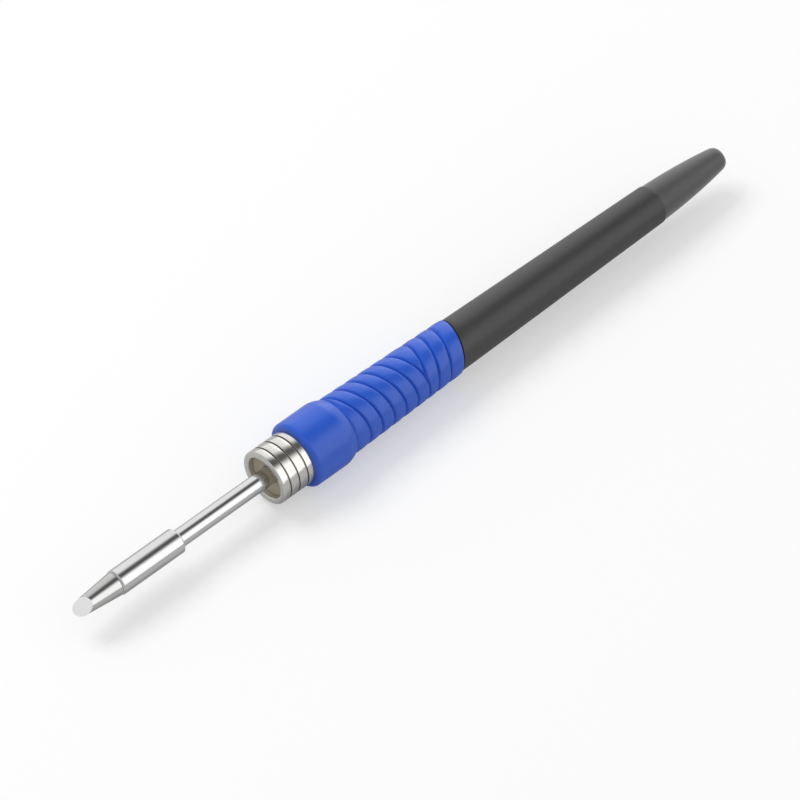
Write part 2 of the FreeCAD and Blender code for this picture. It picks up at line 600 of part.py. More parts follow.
def build_block():
    slot_width = "(spring_width + 2 * spring_slot_gap)"
    block = turned("block", [
        (LINER_END, "tube_radius + guide_gap"), (LINER_END, SEAT_RADIUS), (BLOCK_END, SEAT_RADIUS),
        (BLOCK_END, "tube_radius + guide_gap")])
    slots_through(block, "tube_radius", f"{SPRING_FLOOR} + spring_thickness", slot_width,
                  SPRING_COUNT)
    piece("contact_block", block)

    board = turned("board", [
        (BLOCK_END, "conductor_radius"), (BLOCK_END, SEAT_RADIUS), (BOARD_END, SEAT_RADIUS),
        (BOARD_END, "conductor_radius")])
    slots_through(board, f"{SPRING_FLOOR} - spring_slot_gap",
                  f"{SPRING_FLOOR} + spring_thickness + spring_slot_gap", slot_width, SPRING_COUNT)
    piece("terminal_board", board)

    sensor = primitive("Cylinder", "sensor", Radius="sensor_radius", Height="sensor_length")
    place(sensor, along=BOARD_END, turn="90", up="-sensor_offset - sensor_radius")
    piece("cold_junction_sensor", sensor)


def build_springs():
    ring_station = f"({RING_CONTACT_FRONT} + ring_contact_length / 2)"
    pin_station = f"({PIN_CONTACT_FRONT} + pin_contact_length / 2)"
    springs = (("earth_spring", "(tube_insertion - earth_inset)", "tube_radius"),
               ("ring_spring", ring_station, RING_CONTACT_RADIUS),
               ("pin_spring", pin_station, PIN_CONTACT_RADIUS))
    for index, (name, station, radius) in enumerate(springs):
        touch = f"({radius} + spring_touch_gap)"
        path = [(f"{BOARD_END} + tail_length", SPRING_FLOOR),
                (f"{station} + spring_pad + spring_slope", SPRING_FLOOR),
                (f"{station} + spring_pad", touch), (f"{station} - spring_pad", touch),
                (f"{station} - spring_pad - spring_flare_length", f"({touch} + {SPRING_FLOOR}) / 2")]
        back = [(along, f"{out} + spring_thickness") for along, out in reversed(path)]
        body = doc.addObject("PartDesign::Body", name + "_leaf")
        pad = body.newObject("PartDesign::Pad", name + "_pad")
        pad.Profile = outline(body, name + "_outline", path + back)
        pad.Midplane = True
        bind(pad, Length="spring_width")
        place(body, roll=f"{index} * 360 / {SPRING_COUNT}")
        doc.recompute()
        piece(name, body)


def write_pieces():
    """Check every object and every piece, then write one STEP file for each piece."""
    doc.recompute()
    for thing in doc.Objects:
        if "Invalid" in thing.State or "Error" in thing.State:
            raise SystemExit(f"{thing.Name} failed: {thing.State}")
    os.makedirs("parts", exist_ok=True)
    for name, thing in PIECES.items():
        shape = thing.Shape
        if shape.isNull() or not shape.isValid() or not shape.Solids:
            raise SystemExit(f"{name} has no sound shape")
    for name, thing in PIECES.items():
        thing.Shape.exportStep(f"parts/{name}.step")
        print(f"{name}: {len(thing.Shape.Solids)} solid(s), {thing.Shape.Volume:.2f} mm3")


build_nose()
build_handle()
build_boot()
build_cartridge()
build_retainer()
build_block()
build_springs()
write_pieces()
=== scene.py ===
"""Cartridge soldering iron: finishes, detailed pieces, studio and camera round the frame."""
import logging
import math
from dataclasses import dataclass, field
from enum import Enum
from typing import Optional, Sequence

import bmesh
import bpy
from mathutils import Matrix, Vector


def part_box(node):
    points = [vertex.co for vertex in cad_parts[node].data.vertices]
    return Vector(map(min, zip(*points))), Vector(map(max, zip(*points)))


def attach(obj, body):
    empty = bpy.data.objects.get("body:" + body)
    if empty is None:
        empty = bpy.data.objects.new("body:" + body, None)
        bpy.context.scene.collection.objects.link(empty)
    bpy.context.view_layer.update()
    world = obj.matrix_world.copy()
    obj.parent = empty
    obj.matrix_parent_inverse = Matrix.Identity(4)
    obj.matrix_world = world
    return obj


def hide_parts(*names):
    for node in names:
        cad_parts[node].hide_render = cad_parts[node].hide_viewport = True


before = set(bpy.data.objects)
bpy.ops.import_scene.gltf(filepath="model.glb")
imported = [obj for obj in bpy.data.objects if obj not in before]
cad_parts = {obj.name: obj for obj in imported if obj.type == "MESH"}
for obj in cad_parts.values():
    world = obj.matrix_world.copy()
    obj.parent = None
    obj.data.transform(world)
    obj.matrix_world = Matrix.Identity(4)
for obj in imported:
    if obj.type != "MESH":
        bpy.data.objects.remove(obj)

LOG = logging.getLogger("soldering_iron")
SHARP_DEGREES = 32.0          # edges steeper than this stay sharp
MERGE_WITHIN = 0.0005         # millimetres within which a turned mesh's points are one
MM = 0.001                    # one millimetre in Blender's metres
FULL_TURN = 2.0 * math.pi
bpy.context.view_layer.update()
HAIR = 0.01                   # millimetres by which a test for a place is widened
SECOND_SLOT = 1               # material slot of a piece's second finish
THIRD_SLOT = 2                # material slot of its third
REAR_TILT = 14.6              # degrees: lean of the grip's rear grooves and the handle's shoulder
REAR_ROLL = 114.0             # degrees: direction of that lean

Outline = Sequence[tuple[float, float, float]]
BMesh = bmesh.types.BMesh


# ---- colours and nodes --------------------------------------------------------------------
def linear(code: str) -> tuple[float, float, float, float]:
    """Turn an sRGB hex colour into the linear colour that a shader socket holds.

    Args:
        code: Six hex digits, with or without a leading hash.

    Returns:
        Linear red, green, blue and an alpha of 1.
    """
    parts = [int(code.lstrip("#")[i:i + 2], 16) / 255.0 for i in (0, 2, 4)]
    red, green, blue = [v / 12.92 if v <= 0.04045 else ((v + 0.055) / 1.055) ** 2.4 for v in parts]
    return red, green, blue, 1.0


def add_node(tree: bpy.types.NodeTree, kind: str, values: Optional[dict] = None,
             links: Optional[dict] = None, **settings: object) -> bpy.types.Node:
    """Add a node, set it up and link its inputs.

    Args:
        tree: The tree that gets the node.
        kind: The node's type name.
        values: Input name or index to the value it gets.
        links: Input name or index to the output socket that feeds it.
        **settings: Properties of the node itself.

    Returns:
        The new node.
    """
    node = tree.nodes.new(kind)
    for name, value in settings.items():
        setattr(node, name, value)
    for key, value in (values or {}).items():
        node.inputs[key].default_value = value
    for key, socket in (links or {}).items():
        tree.links.new(socket, node.inputs[key])
    return node


def new_tree(name: str) -> tuple[bpy.types.Material, bpy.types.NodeTree]:
    """Make an empty node material.

    Args:
        name: The material's name.

    Returns:
        The material and its node tree.
    """
    material = bpy.data.materials.new(name)
    material.use_nodes = True
    material.node_tree.nodes.clear()
    return material, material.node_tree


# ---- finishes -----------------------------------------------------------------------------
class Grain(Enum):
    """Direction in which the fine marks of a surface run."""

    EVEN = (1.0, 1.0, 1.0)
    ROUND_THE_AXIS = (26.0, 1.0, 1.0)
    ALONG_THE_AXIS = (1.0, 22.0, 22.0)


@dataclass(frozen=True)
class Finish:
    """A surface finish with fine marks in its colour, gloss and relief.

    Fields give the base colour, the colour it varies towards, the shader's plain values, and the
    size of the marks in millimetres.
    """

    name: str
    colour: str
    second_colour: str
    metallic: float
    roughness: float
    roughness_spread: float
    mark_size: float
    relief: float
    grain: Grain = Grain.EVEN
    ior: float = 1.5
    coat: float = 0.0
    sheen: float = 0.0
    patch_size: float = 9.0
    mark_detail: float = 3.0
    mark_softness: float = 0.6
    patch_detail: float = 2.0
    half_share: float = 0.5
    dull_below: float = 0.3
    dull_above: float = 0.7

    def build(self) -> bpy.types.Material:
        """Make the material.

        Returns:
            A procedural material on Object coordinates.
        """
        material, tree = new_tree(self.name)
        place = add_node(tree, "ShaderNodeTexCoord").outputs["Object"]
        stretched = add_node(tree, "ShaderNodeMapping", {"Scale": self.grain.value},
                             {"Vector": place})
        marks = add_node(tree, "ShaderNodeTexNoise",
                         {"Scale": 1.0 / (self.mark_size * MM), "Detail": self.mark_detail,
                          "Roughness": self.mark_softness},
                         {"Vector": stretched.outputs[0]})
        patches = add_node(tree, "ShaderNodeTexNoise",
                           {"Scale": 1.0 / (self.patch_size * MM), "Detail": self.patch_detail},
                           {"Vector": place})
        blend = add_node(tree, "ShaderNodeMath", {1: self.half_share}, {0: marks.outputs[0]},
                         operation="MULTIPLY")
        share = add_node(tree, "ShaderNodeMath", {1: self.half_share},
                         {0: patches.outputs[0], 2: blend.outputs[0]}, operation="MULTIPLY_ADD")
        colour = add_node(tree, "ShaderNodeMix", {6: linear(self.colour),
                                                  7: linear(self.second_colour)},
                          {0: share.outputs[0]}, data_type="RGBA")
        gloss = add_node(tree, "ShaderNodeMapRange",
                         {1: self.dull_below, 2: self.dull_above,
                          3: self.roughness - self.roughness_spread,
                          4: self.roughness + self.roughness_spread}, {0: share.outputs[0]})
        bump = add_node(tree, "ShaderNodeBump", {"Strength": 1.0, "Distance": self.relief * MM},
                        {"Height": marks.outputs[0]})
        shader = add_node(tree, "ShaderNodeBsdfPrincipled",
                          {"Metallic": self.metallic, "IOR": self.ior,
                           "Coat Weight": self.coat, "Sheen Weight": self.sheen},
                          {"Base Color": colour.outputs[2], "Roughness": gloss.outputs[0],
                           "Normal": bump.outputs[0]})
        add_node(tree, "ShaderNodeOutputMaterial", links={0: shader.outputs[0]})
        return material


class Finishes:
    """All finishes of the iron, each made once."""

    # drawn and buffed stainless: faint rings round the tube, a mirror that is slightly soft
    STAINLESS = Finish("buffed_stainless", "#d9d9d8", "#cfd0d0", 1.0, 0.13, 0.03, 0.35, 0.0006,
                       Grain.ROUND_THE_AXIS)
    # bright nickel over turned brass: warm white mirror with turning marks
    NICKEL = Finish("bright_nickel", "#dfdedb", "#d4d2cd", 1.0, 0.16, 0.04, 0.4, 0.0008,
                    Grain.ROUND_THE_AXIS)
    # chromium on iron-plated copper: what keeps solder off the bit's sides
    CHROMED_IRON = Finish("chromed_iron", "#d3d3d2", "#c6c6c5", 1.0, 0.16, 0.04, 0.5, 0.0010,
                          Grain.ROUND_THE_AXIS)
    # tinned working face: soft grey metal with a slightly mottled skin
    TINNED_FACE = Finish("tinned_face", "#fafafa", "#f1f1f1", 0.08, 0.55, 0.06, 0.25, 0.003)
    # moulded heat-resistant plastic: beige, matt, with a fine speckle
    BEIGE_BUSH = Finish("beige_heat_plastic", "#b8af9a", "#aaa08b", 0.0, 0.5, 0.06, 0.3, 0.004)
    # moulded silicone rubber: strong blue, satin, with a faint sheen
    BLUE_RUBBER = Finish("blue_silicone_rubber", "#1150c4", "#1656ca", 0.0, 0.31, 0.03, 0.12,
                         0.0026, ior=1.58, sheen=0.06)
    # glass-filled nylon from a spark-eroded mould: near black with an even fine grain
    BLACK_NYLON = Finish("black_nylon", "#303031", "#383839", 0.0, 0.4, 0.04, 0.16, 0.0040,
                         sheen=0.1)
    # soft plastic of the boot: a little lighter and glossier than the handle
    GREY_BOOT = Finish("grey_soft_plastic", "#383838", "#404040", 0.0, 0.42, 0.04, 0.16, 0.0025,
                       sheen=0.5)
    # nitrile rubber of seals and gland
    SEAL_RUBBER = Finish("nitrile_rubber", "#232323", "#2b2b2b", 0.0, 0.6, 0.06, 0.2, 0.003)
    # the collar's mouth as the boring tool left it: dull, scattering the light
    TURNED_BORE = Finish("bored_nickel", "#d2ccbf", "#c6c0b3", 0.55, 0.55, 0.05, 0.3, 0.002,
                         Grain.ROUND_THE_AXIS)
    # nickel at the bottom of a groove, darker: painted shade of the groove's hollow
    GROOVE_PAINTED_SHADE = Finish("nickel_groove_painted_shade", "#9a948a", "#8a847b", 1.0, 0.35, 0.05, 0.3, 0.001)
    # turned brass, slightly dulled
    BRASS = Finish("turned_brass", "#c9a45a", "#b98f48", 1.0, 0.28, 0.06, 0.3, 0.002,
                   Grain.ROUND_THE_AXIS)
    # gold flash on spring bronze
    GOLD_SPRING = Finish("gold_flashed_bronze", "#e2bb62", "#d2a852", 1.0, 0.22, 0.04, 0.3, 0.001,
                         Grain.ALONG_THE_AXIS)
    # tempered spring steel
    SPRING_STEEL = Finish("tempered_spring_steel", "#9c9a96", "#858380", 1.0, 0.3, 0.05, 0.3, 0.001)
    # fired alumina: off-white, matt, faintly granular
    CERAMIC = Finish("fired_alumina", "#ece8dd", "#ddd8ca", 0.0, 0.5, 0.05, 0.2, 0.004, ior=1.76)
    # oxidised resistance wire
    HEATER_WIRE = Finish("oxidised_heater_wire", "#6f6a66", "#57504b", 1.0, 0.45, 0.06, 0.2, 0.001)
    # glass-epoxy laminate with green solder resist
    BOARD = Finish("green_laminate", "#1f6b3d", "#195a33", 0.0, 0.35, 0.05, 0.5, 0.002, coat=0.3)
    # dark epoxy bead of the sensor
    EPOXY = Finish("dark_epoxy", "#2b2320", "#352b27", 0.0, 0.25, 0.04, 0.6, 0.001)

    _made: dict[str, bpy.types.Material] = {}

    @classmethod
    def of(cls, finish: Finish) -> bpy.types.Material:
        """Find the material of a finish, made the first time it is asked for.

        Args:
            finish: The finish wanted.

        Returns:
            Its material.
        """
        if finish.name not in cls._made:
            cls._made[finish.name] = finish.build()
        return cls._made[finish.name]


# ---- mesh helpers -------------------------------------------------------------------------
def span_of(node: str) -> tuple[float, float]:
    """First and last place of a CAD node along the axis, in millimetres."""
    low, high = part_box(node)
    return low[0] / MM, high[0] / MM


def radius_of(node: str) -> float:
    """Outer radius of a round CAD node, in millimetres."""
    low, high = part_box(node)
    return (high[1] - low[1]) / 2 / MM


def spun(outline: Outline, steps: int, round_steps: int = 4) -> BMesh:
    """Turn a closed outline about the X axis.

    Args:
        outline: Corners as (along, out, round), in millimetres; round is how far from the corner
            its rounding starts, and 0 leaves it sharp.
        steps: Number of steps round the axis.
        round_steps: Segments of a rounding.

    Returns:
        A closed mesh in millimetres with its faces pointing outwards.
    """
    mesh = bmesh.new()
    corners = [mesh.verts.new((along, 0.0, out)) for along, out, _ in outline]
    for corner, after in zip(corners, corners[1:] + corners[:1]):
        mesh.edges.new((corner, after))
    rounds = [(corner, spec[2]) for corner, spec in zip(corners, outline) if spec[2] > 0.0]
    for corner, offset in rounds:
        bmesh.ops.bevel(mesh, geom=[corner], offset=offset, offset_type="OFFSET",
                        segments=round_steps, profile=0.5, affect="VERTICES", material=-1)
    bmesh.ops.spin(mesh, geom=mesh.verts[:] + mesh.edges[:], cent=(0, 0, 0), axis=(1, 0, 0),
                   angle=FULL_TURN, steps=steps, use_merge=True)
    bmesh.ops.remove_doubles(mesh, verts=mesh.verts[:], dist=MERGE_WITHIN)
    on_axis = [edge for edge in mesh.edges if edge.is_wire]
    bmesh.ops.delete(mesh, geom=on_axis, context="EDGES")
    bmesh.ops.recalc_face_normals(mesh, faces=mesh.faces[:])
    return mesh


def finished(name: str, mesh: BMesh, finishes: Sequence[Finish], body: str, node: str,
             sharp_degrees: float = SHARP_DEGREES) -> bpy.types.Object:
    """Turn a mesh in millimetres into a piece that stands for a CAD node.

    Args:
        name: The piece's name.
        mesh: The mesh, which is freed.
        finishes: The finishes of its material slots, in order.
        body: The CAD body that it rides on.
        node: The CAD node that it stands for.
        sharp_degrees: Edges steeper than this stay sharp.

    Returns:
        The piece, at the origin, with its place in its mesh.
    """
    bmesh.ops.scale(mesh, vec=(MM, MM, MM), verts=mesh.verts[:])
    for face in mesh.faces:
        face.smooth = True
    data = bpy.data.meshes.new(name)
    mesh.to_mesh(data)
    mesh.free()
    data.set_sharp_from_angle(angle=math.radians(sharp_degrees))
    for finish in finishes:
        data.materials.append(Finishes.of(finish))
    piece = bpy.data.objects.new(name, data)
    bpy.context.scene.collection.objects.link(piece)
    even = piece.modifiers.new("even_shading", "WEIGHTED_NORMAL")
    even.keep_sharp = True
    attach(piece, body)
    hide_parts(node)
    LOG.info("%s: %d faces on %s", name, len(data.polygons), body)
    return piece


def leaning(tilt: float, roll: float) -> Vector:
    """Unit normal of a plane across the iron.

    Args:
        tilt: Angle between the normal and the axis, in degrees.
        roll: Direction in which it leans, turned about the axis from +Z, in degrees.

    Returns:
        The normal, pointing to the cord end.
    """
    lean = Matrix.Rotation(math.radians(-tilt), 3, "Y") @ Vector((1, 0, 0))
    return Matrix.Rotation(math.radians(roll), 3, "X") @ lean


@dataclass(frozen=True)
class CrossPlane:
    """A plane across the iron, given by where it meets the axis and its normal."""

    along: float
    normal: Vector

    def meets(self, point: Vector) -> float:
        """Place along the axis where the plane passes point's own line along the axis."""
        return self.along - (self.normal.y * point.y + self.normal.z * point.z) / self.normal.x

    def distance(self, point: Vector) -> float:
        """Distance of a point behind the plane, negative in front of it."""
        return self.normal.dot(point - Vector((self.along, 0, 0)))


def smooth_step(value: float) -> float:
    """Ease from 0 to 1 as value goes from 0 to 1."""
    held = min(max(value, 0.0), 1.0)
    return held * held * (3.0 - 2.0 * held)


# ---- cartridge ----------------------------------------------------------------------------
@dataclass
class Cartridge:
    """The bit, its barrel and tube, and the contacts at the rear. Sizes in millimetres."""

    body: str = "cartridge"
    steps: int = 128
    front_radius: float = 1.62
    base_radius: float = 2.57
    shank_radius: float = 2.1
    pocket_radius: float = 1.36
    pocket_depth: float = 15.0
    visible_length: float = 10.16
    bevel_angle: float = 50.0
    bevel_roll: float = 32.9
    bevel_edge: float = 0.09
    barrel_chamfer: float = 0.34
    tube_wall: float = 0.4
    shank_gap: float = 0.05
    tube_lap: float = 4.2
    small_round: float = 0.06
    pocket_round: float = 0.2

    def build(self) -> None:
        """Build the pieces that show and dress the ones that stay as they are."""
        self.build_bit()
        self.build_barrel()
        self.build_tube()
        self.dress()

    def build_bit(self) -> None:
        """Turned bit with its slanting working face."""
        front, rear = span_of("soldering_bit")
        base = front + self.visible_length
        edge = self.small_round
        mesh = spun([(front, 0.0, 0.0), (front, self.front_radius, 0.0),
                     (base - edge, self.base_radius, edge), (base, self.shank_radius, 0.0),
                     (rear, self.shank_radius, edge), (rear, self.pocket_radius, edge),
                     (rear - self.pocket_depth, self.pocket_radius, self.pocket_round),
                     (rear - self.pocket_depth, 0.0, 0.0)], self.steps)
        slant = math.radians(self.bevel_angle)
        roll = Matrix.Rotation(math.radians(self.bevel_roll), 3, "X")
        normal = roll @ Vector((-math.sin(slant), 0, math.cos(slant)))
        low = roll @ Vector((front, 0, -self.front_radius))
        cut = bmesh.ops.bisect_plane(mesh, geom=mesh.verts[:] + mesh.edges[:] + mesh.faces[:],
                                     plane_co=low, plane_no=normal, clear_outer=True)
        rim = [item for item in cut["geom_cut"] if isinstance(item, bmesh.types.BMEdge)]
        lid = bmesh.ops.contextual_create(mesh, geom=rim)["faces"]
        for face in lid:
            face.material_index = SECOND_SLOT
        bmesh.ops.recalc_face_normals(mesh, faces=mesh.faces[:])
        rim = [side for face in lid for side in face.edges]
        bmesh.ops.bevel(mesh, geom=rim, offset=self.bevel_edge, offset_type="OFFSET", segments=3,
                        profile=0.5, affect="EDGES", material=SECOND_SLOT, clamp_overlap=True)
        finished("bit_plated", mesh, [Finishes.CHROMED_IRON, Finishes.TINNED_FACE], self.body,
                 "soldering_bit")

    def build_barrel(self) -> None:
        """Barrel sleeve with a chamfered mouth at each end."""
        front, rear = span_of("barrel_sleeve")
        out = radius_of("barrel_sleeve")
        inner = self.shank_radius + self.shank_gap
        seat = radius_of("cartridge_tube") + self.shank_gap
        edge, chamfer = self.small_round, self.barrel_chamfer
        mesh = spun([(front, inner, edge), (front, out - chamfer, edge),
                     (front + chamfer, out, edge), (rear - chamfer, out, edge),
                     (rear, out - chamfer, edge), (rear, seat, edge),
                     (rear - self.tube_lap, seat, 0.0), (rear - self.tube_lap, inner, 0.0)],
                    self.steps)
        finished("barrel_buffed", mesh, [Finishes.STAINLESS], self.body, "barrel_sleeve")

    def build_tube(self) -> None:
        """Thin drawn tube."""
        front, rear = span_of("cartridge_tube")
        out = radius_of("cartridge_tube")
        edge = self.small_round
        mesh = spun([(front, out - self.tube_wall, 0.0), (front, out, edge), (rear, out, edge),
                     (rear, out - self.tube_wall, 0.0)], self.steps)
        finished("tube_buffed", mesh, [Finishes.STAINLESS], self.body, "cartridge_tube")

    def dress(self) -> None:
        """Give the carried-over pieces their finishes."""
        dress_nodes({"heater_former": Finishes.CERAMIC, "heater_coil": Finishes.HEATER_WIRE,
                     "centre_conductor": Finishes.NICKEL, "return_lead": Finishes.HEATER_WIRE,
                     "bead_insulators": Finishes.CERAMIC, "front_insulator": Finishes.CERAMIC,
                     "ring_contact": Finishes.STAINLESS, "rear_insulator": Finishes.CERAMIC,
                     "pin_contact": Finishes.STAINLESS})


def dress_nodes(plan: dict[str, Finish]) -> None:
    """Give carried-over CAD nodes their finishes.

    Args:
        plan: CAD node name to its finish.
    """
    for node, finish in plan.items():
        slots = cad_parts[node].material_slots
        for slot in slots:
            slot.material = Finishes.of(finish)
        LOG.info("%s: dressed in %s", node, finish.name)


# ---- nose ---------------------------------------------------------------------------------
@dataclass
class Nose:
    """Metal collar and the beige bush in its mouth. Sizes in millimetres."""

    body: str = "handle"
    steps: int = 160
    visible_length: float = 8.4
    mouth_radius: float = 4.6
    mouth_depth: float = 6.4
    rim_round: float = 0.5
    tail_radius: float = 3.55
    tail_bore: float = 2.85
    groove_first: float = 1.85
    groove_pitch: float = 2.29
    groove_width: float = 0.34
    groove_depth: float = 0.22
    grooves: int = 3
    groove_round: float = 0.06
    thick_wall: float = 1.0
    end_margin: float = 0.1
    rim_margin: float = 0.02
    bush_rim_round: float = 0.06
    bush_dish: float = 0.35
    dish_floor: float = 0.9
    dish_floor_round: float = 0.3
    dish_rim: float = 0.3
    dish_rim_round: float = 0.15
    bush_bore: float = 1.97
    bush_bore_round: float = 0.05
    bush_end_round: float = 0.1
    bush_gap: float = 0.05

    def build(self) -> None:
        """Build the collar and the bush, and dress what they hold."""
        self.build_collar()
        self.build_bush()
        dress_nodes({"nose_o_ring": Finishes.SEAL_RUBBER, "retainer_cup": Finishes.BRASS,
                     "retaining_ring": Finishes.SPRING_STEEL})

    def build_collar(self) -> None:
        """Collar with rounded rim, band grooves and a plain tail."""
        front, rear = span_of("nose_collar")
        out = radius_of("nose_collar")
        edge = self.groove_round
        outline = [(front, self.mouth_radius, self.rim_round), (front, out, self.rim_round)]
        for index in range(self.grooves):
            start = front + self.groove_first + index * self.groove_pitch
            floor = out - self.groove_depth
            outline += [(start, out, edge), (start, floor, 0.0),
                        (start + self.groove_width, floor, 0.0),
                        (start + self.groove_width, out, edge)]
        shoulder = front + self.visible_length
        outline += [(shoulder, out, edge), (shoulder, self.tail_radius, 0.0),
                    (rear, self.tail_radius, edge), (rear, self.tail_bore, edge),
                    (front + self.mouth_depth, self.tail_bore, 0.0),
                    (front + self.mouth_depth, self.mouth_radius, 0.0)]
        mesh = spun(outline, self.steps)
        for face in mesh.faces:
            middle = face.calc_center_median()
            away = math.hypot(middle.y, middle.z)
            # groove floors and walls take the darker nickel finish: painted shade in the grooves
            in_groove_painted_shade = self.tail_radius + self.thick_wall < away < out - self.groove_round
            if in_groove_painted_shade and front + self.groove_first - HAIR < middle.x < shoulder - self.end_margin:
                face.material_index = SECOND_SLOT
            in_mouth = self.tail_radius < away < self.mouth_radius + self.rim_margin
            if in_mouth and middle.x < front + self.mouth_depth - HAIR:
                face.material_index = THIRD_SLOT
        looks = [Finishes.NICKEL, Finishes.GROOVE_PAINTED_SHADE, Finishes.TURNED_BORE]
        finished("collar_plated", mesh, looks, self.body, "nose_collar")

    def build_bush(self) -> None:
        """Dished bush round the tube."""
        front, rear = span_of("nose_bush")
        out = radius_of("nose_bush")
        tail = self.tail_bore - self.bush_gap
        shoulder = self.mouth_depth
        floor = front + self.bush_dish
        mesh = spun([(front, out, self.bush_rim_round), (shoulder, out, 0.0), (shoulder, tail, 0.0),
                     (rear, tail, self.bush_end_round), (rear, self.bush_bore, self.bush_end_round),
                     (floor, self.bush_bore, self.bush_bore_round),
                     (floor, self.bush_bore + self.dish_floor, self.dish_floor_round),
                     (front, out - self.dish_rim, self.dish_rim_round)], self.steps)
        finished("bush_moulded", mesh, [Finishes.BEIGE_BUSH], self.body, "nose_bush")


# ---- grip ---------------------------------------------------------------------------------
@dataclass
class Grip:
    """Ribbed rubber sleeve with a finger stop. Sizes in millimetres, angles in degrees."""

    body: str = "handle"
    steps: int = 240
    bore: float = 4.55
    front_edge_round: float = 0.9
    stop_length: float = 8.2
    neck_length: float = 3.1
    neck_radius: float = 6.36
    rear_radius: float = 5.5
    axis_length: float = 42.6
    groove_first: float = 21.45
    groove_pitch: float = 3.35
    rear_first: float = 40.6
    front_grooves: int = 6
    rear_grooves: int = 3
    front_tilt: float = 17.1
    front_roll: float = -88.6
    groove_half_width: float = 0.36
    groove_depth: float = 0.4
    crown: float = 0.13
    crease_depth: float = 0.16
    crease_half_width: float = 0.3
    rear_edge_round: float = 0.12
    rings_in_groove: int = 5
    rings_in_rib: int = 9
    neck_rings: int = 16
    rear_reach: float = 0.1
    least_step: float = 0.03
    skin: float = 0.3
    sharp_degrees: float = 50.0
    front_arc_step: int = 15
    stop_rings: int = 6
    tail_shares: tuple[float, float, float] = (0.3, 0.7, 1.0)
    tail_step: float = 0.001
    front: float = field(init=False)
    out: float = field(init=False)
    planes: list[CrossPlane] = field(init=False)
    rear_edge: CrossPlane = field(init=False)

    def __post_init__(self) -> None:
        """Work out the planes of the grooves and of the rear edge."""
        self.front = span_of("grip_sleeve")[0]
        self.out = radius_of("grip_sleeve")
        lean_front = leaning(self.front_tilt, self.front_roll)
        lean_rear = leaning(REAR_TILT, REAR_ROLL)
        self.planes = [CrossPlane(self.groove_first + i * self.groove_pitch, lean_front)
                       for i in range(self.front_grooves)]
        self.planes += [CrossPlane(self.rear_first + i * self.groove_pitch, lean_rear)
                        for i in range(self.rear_grooves)]
        self.rear_edge = CrossPlane(self.front + self.axis_length + self.rear_reach, lean_rear)

    def build(self) -> None:
        """Build the sleeve."""
        mesh = self.blank()
        self.lean_rings(mesh)
        self.press_grooves(mesh)
        bmesh.ops.recalc_face_normals(mesh, faces=mesh.faces[:])
        finished("grip_moulded", mesh, [Finishes.BLUE_RUBBER], self.body, "grip_sleeve",
                 self.sharp_degrees)

    def radius_at(self, along: float) -> float:
        """Work out the outer radius of the plain sleeve.

        Args:
            along: Place on the axis.

        Returns:
            The radius there, before the grooves and ribs.
        """
        neck = self.front + self.stop_length
        if along <= neck:
            return self.out
        if along < neck + self.neck_length:
            share = (along - neck) / self.neck_length
            return self.neck_radius + (self.out - self.neck_radius) * math.cos(share * math.pi / 2)
        run = self.axis_length - self.stop_length - self.neck_length
        fall = (self.neck_radius - self.rear_radius) / run
        return self.neck_radius - (along - neck - self.neck_length) * fall

    def stations(self) -> list[float]:
        """List the rings of the ribbed part.

        Returns:
            Their places, counted in grooves: 0 is the neck and 1 the first groove.
        """
        marks = len(self.planes)
        rings: list[float] = []
        groove_share = self.groove_half_width / self.groove_pitch
        for mark in range(marks + 1):
            first = mark + (groove_share if mark else 0.0)
            last = mark + 1 - groove_share
            rings += [first + (last - first) * i / self.rings_in_rib
                      for i in range(self.rings_in_rib + 1)]
            if mark < marks:
                rings += [last + 2 * groove_share * i / (self.rings_in_groove + 1)
                          for i in range(1, self.rings_in_groove + 1)]
        return rings

    def blank(self) -> BMesh:
        """Spin the sleeve's outline.

        Returns:
            A closed mesh with one ring for each station of the ribbed part. Its "station" layer
            holds the station plus 1, and 0 where a ring stays.
        """
        neck = self.front + self.stop_length
        mesh = bmesh.new()
        level = mesh.verts.layers.float.new("station")
        corner = self.front_edge_round
        points = [(self.front, self.bore), (self.front, (self.bore + self.out) / 2)]
        points += [(self.front + corner * (1 - math.cos(a)), self.out - corner * (1 - math.sin(a)))
                   for a in (math.radians(d) for d in range(0, 91, self.front_arc_step))]
        run = (self.stop_length - corner) / self.stop_rings
        points += [(self.front + corner + run * i, self.out) for i in range(1, self.stop_rings + 1)]
        hollow = [neck + self.neck_length * i / self.neck_rings for i in range(1, self.neck_rings)]
        points += [(along, self.radius_at(along)) for along in hollow]
        outer = [mesh.verts.new((along, 0, out)) for along, out in points]
        start = neck + self.neck_length
        ribbed = []
        for station in self.stations():
            along = start + station * self.groove_pitch
            vert = mesh.verts.new((along, 0, self.radius_at(along)))
            vert[level] = station + 1.0
            ribbed.append(vert)
        last = ribbed[-1]
        tail = []
        for share in self.tail_shares:
            drop = self.rear_edge_round * share
            vert = mesh.verts.new((last.co.x + self.tail_step, 0, last.co.z - drop))
            vert[level] = last[level]
            tail.append(vert)
        end = mesh.verts.new((last.co.x, 0, self.bore))
        end[level] = last[level]
        chain = outer + ribbed + tail + [end]
        for vert, after in zip(chain, chain[1:] + chain[:1]):
            mesh.edges.new((vert, after))
        bmesh.ops.spin(mesh, geom=mesh.verts[:] + mesh.edges[:], cent=(0, 0, 0), axis=(1, 0, 0),
                       angle=FULL_TURN, steps=self.steps, use_merge=True)
        return mesh

    def marks_on(self, point: Vector) -> list[float]:
        """Find where neck, grooves and rear edge cross a point's own line along the axis.

        Args:
            point: The point.

        Returns:
            The places on that line, in order from the neck.
        """
        places = [self.front + self.stop_length + self.neck_length]
        places += [plane.meets(point) for plane in self.planes] + [self.rear_edge.meets(point)]
        for index in range(1, len(places)):
            places[index] = max(places[index], places[index - 1] + self.least_step)
        return places

